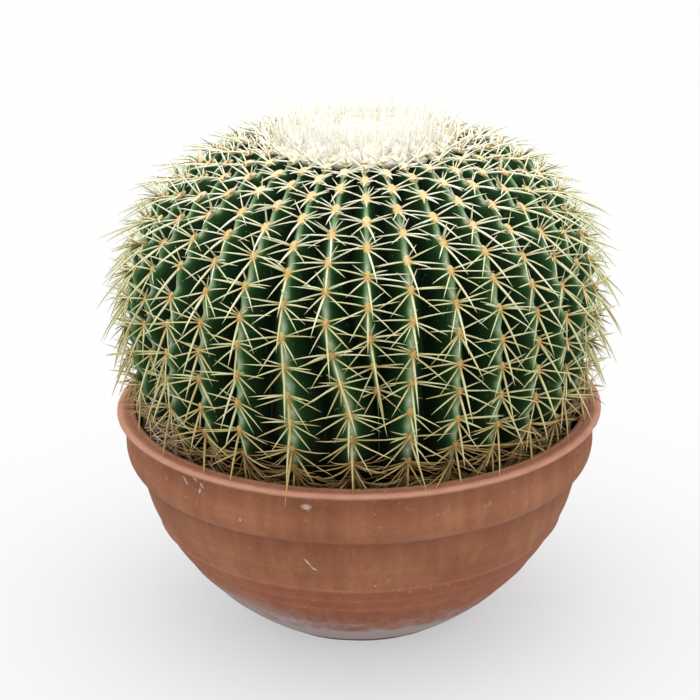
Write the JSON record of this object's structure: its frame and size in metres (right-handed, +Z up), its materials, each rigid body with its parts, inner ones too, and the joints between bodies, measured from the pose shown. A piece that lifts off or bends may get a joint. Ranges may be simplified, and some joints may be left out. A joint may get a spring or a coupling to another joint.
{
  "type": "potted round cactus",
  "caption": "Round ribbed barrel cactus with rows of straw-yellow spines and a woolly crown, growing in a wide stepped terracotta bowl.",
  "frame": {"origin": "middle of the bowl's underside, on the surface that it stands on", "axes": "+Z up along the bowl's and the plant's axis, -Y towards the viewer"},
  "size_m": [0.3454, 0.346, 0.3401],
  "materials": {
    "terracotta": "matte",
    "potting_soil": "matte",
    "cactus_skin": "satin",
    "spines": "satin",
    "crown_wool": "matte"
  },
  "bodies": {
    "root": {"terracotta_bowl": "terracotta", "potting_soil": "potting_soil", "cactus_body": "cactus_skin", "crown_wool": "crown_wool", "spine_row_01": "spines", "spine_row_02": "spines", "spine_row_03": "spines", "spine_row_04": "spines", "spine_row_05": "spines", "spine_row_06": "spines", "spine_row_07": "spines", "spine_row_08": "spines", "spine_row_09": "spines", "spine_row_10": "spines", "spine_row_11": "spines", "spine_row_12": "spines", "spine_row_13": "spines", "spine_row_14": "spines", "spine_row_15": "spines", "spine_row_16": "spines", "spine_row_17": "spines", "spine_row_18": "spines", "spine_row_19": "spines", "spine_row_20": "spines", "spine_row_21": "spines", "spine_row_22": "spines", "spine_row_23": "spines", "spine_row_24": "spines", "spine_row_25": "spines", "spine_row_26": "spines", "spine_row_27": "spines", "spine_row_28": "spines", "spine_row_29": "spines", "spine_row_30": "spines", "spine_row_31": "spines", "spine_row_32": "spines", "spine_row_33": "spines", "spine_row_34": "spines"}
  },
  "joints": []
}
